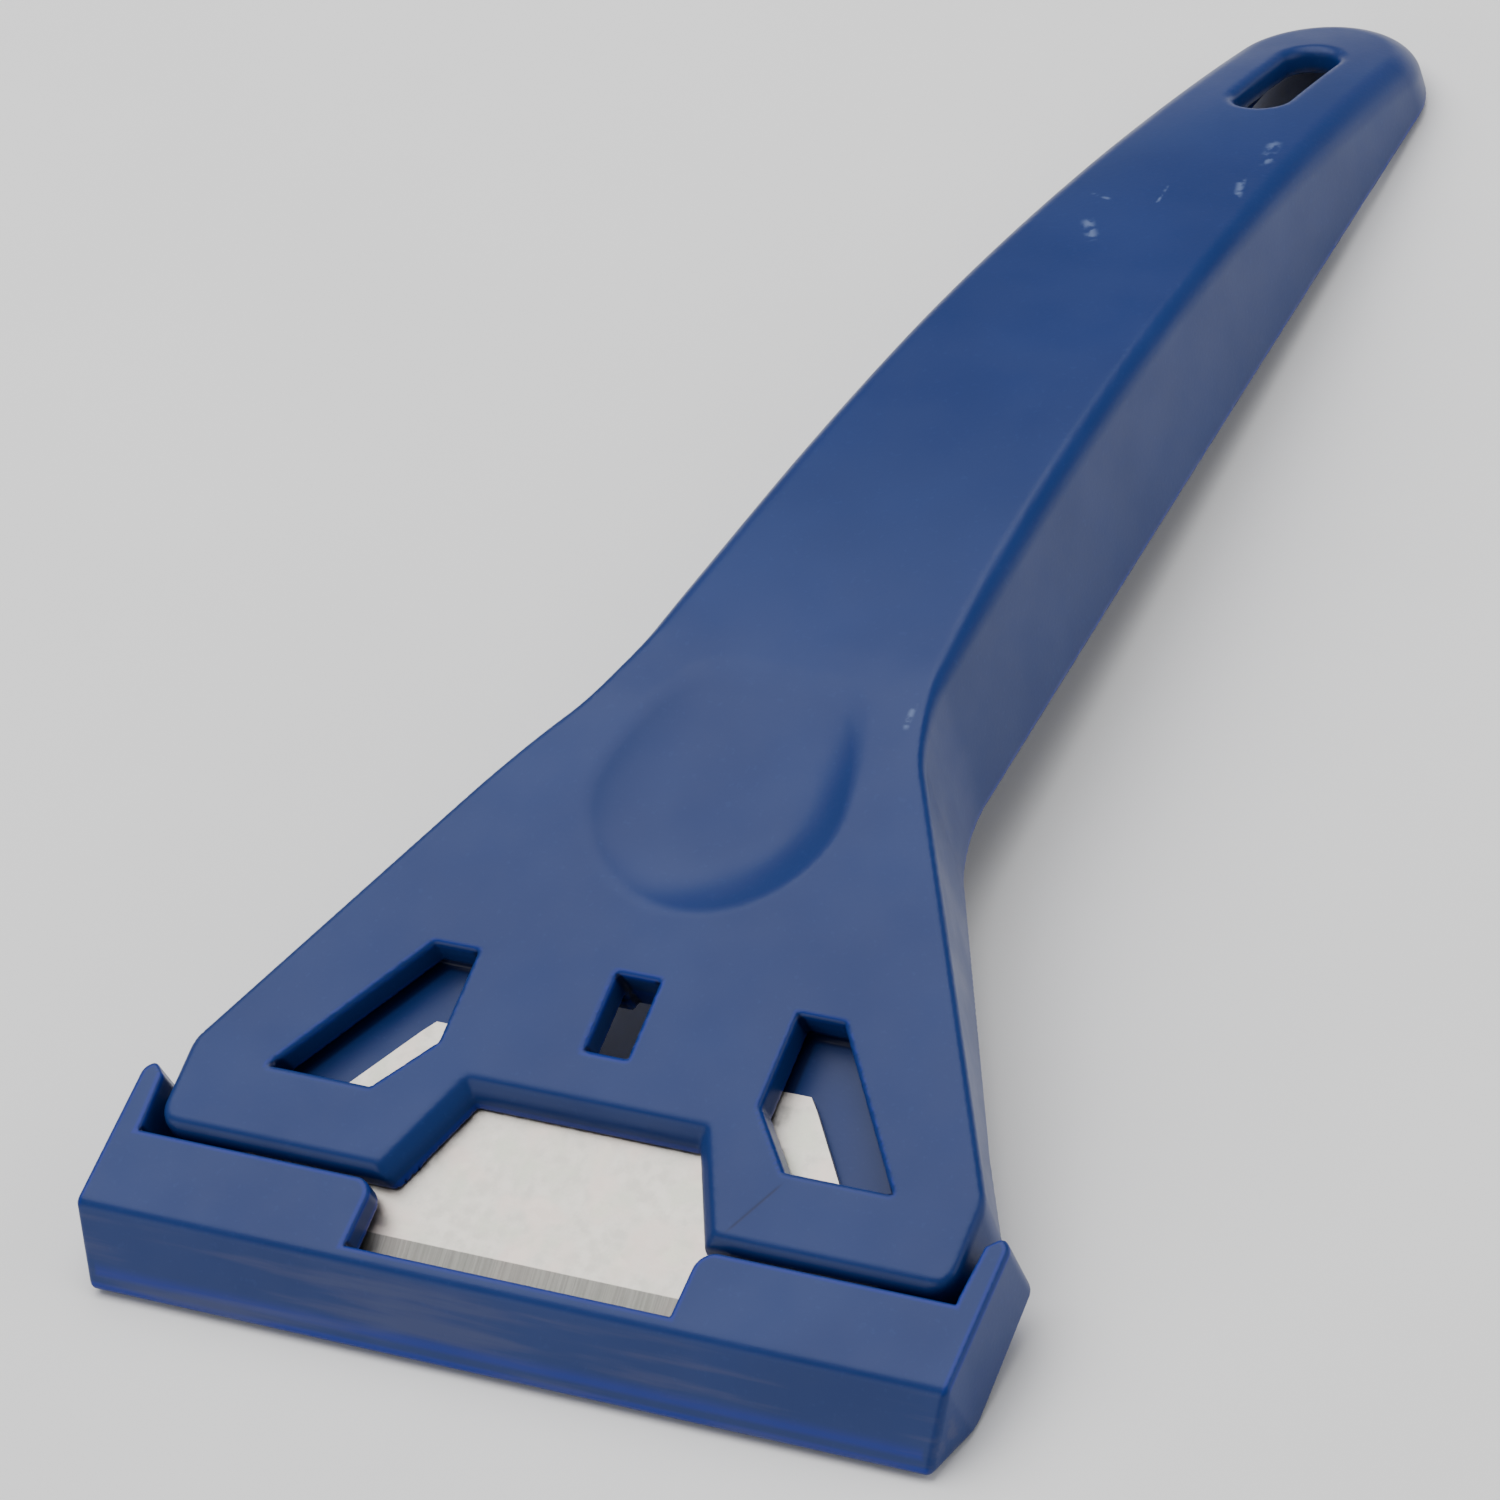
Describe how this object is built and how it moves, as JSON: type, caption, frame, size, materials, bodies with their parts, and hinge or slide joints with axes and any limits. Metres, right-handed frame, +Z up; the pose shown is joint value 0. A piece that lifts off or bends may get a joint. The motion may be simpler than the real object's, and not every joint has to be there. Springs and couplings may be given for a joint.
{
  "type": "windshield ice scraper",
  "caption": "Hand-held scraper with a flared head, an arched hollow handle, a trapezoid steel blade and a pull-off blade guard.",
  "frame": {"origin": "middle of the part's box, on the ground it rests on", "axes": "+Z up, +Y from the blade towards the handle's end, +X across the head"},
  "size_m": [0.0734, 0.1548, 0.02],
  "materials": {
    "body_plastic": "fine satin mould texture",
    "guard_plastic": "satin, softer gloss than the body",
    "blade_steel": "satin rolled steel with a ground bevel"
  },
  "bodies": {
    "scraper": {"body": "body_plastic", "blade": "blade_steel"},
    "guard": {"blade_guard": "guard_plastic"}
  },
  "joints": [
    {"name": "guard_pull", "type": "slide", "parent": "scraper", "child": "guard", "axis": [0, -0.9576, -0.288], "range_m": [0, 0.03]}
  ]
}
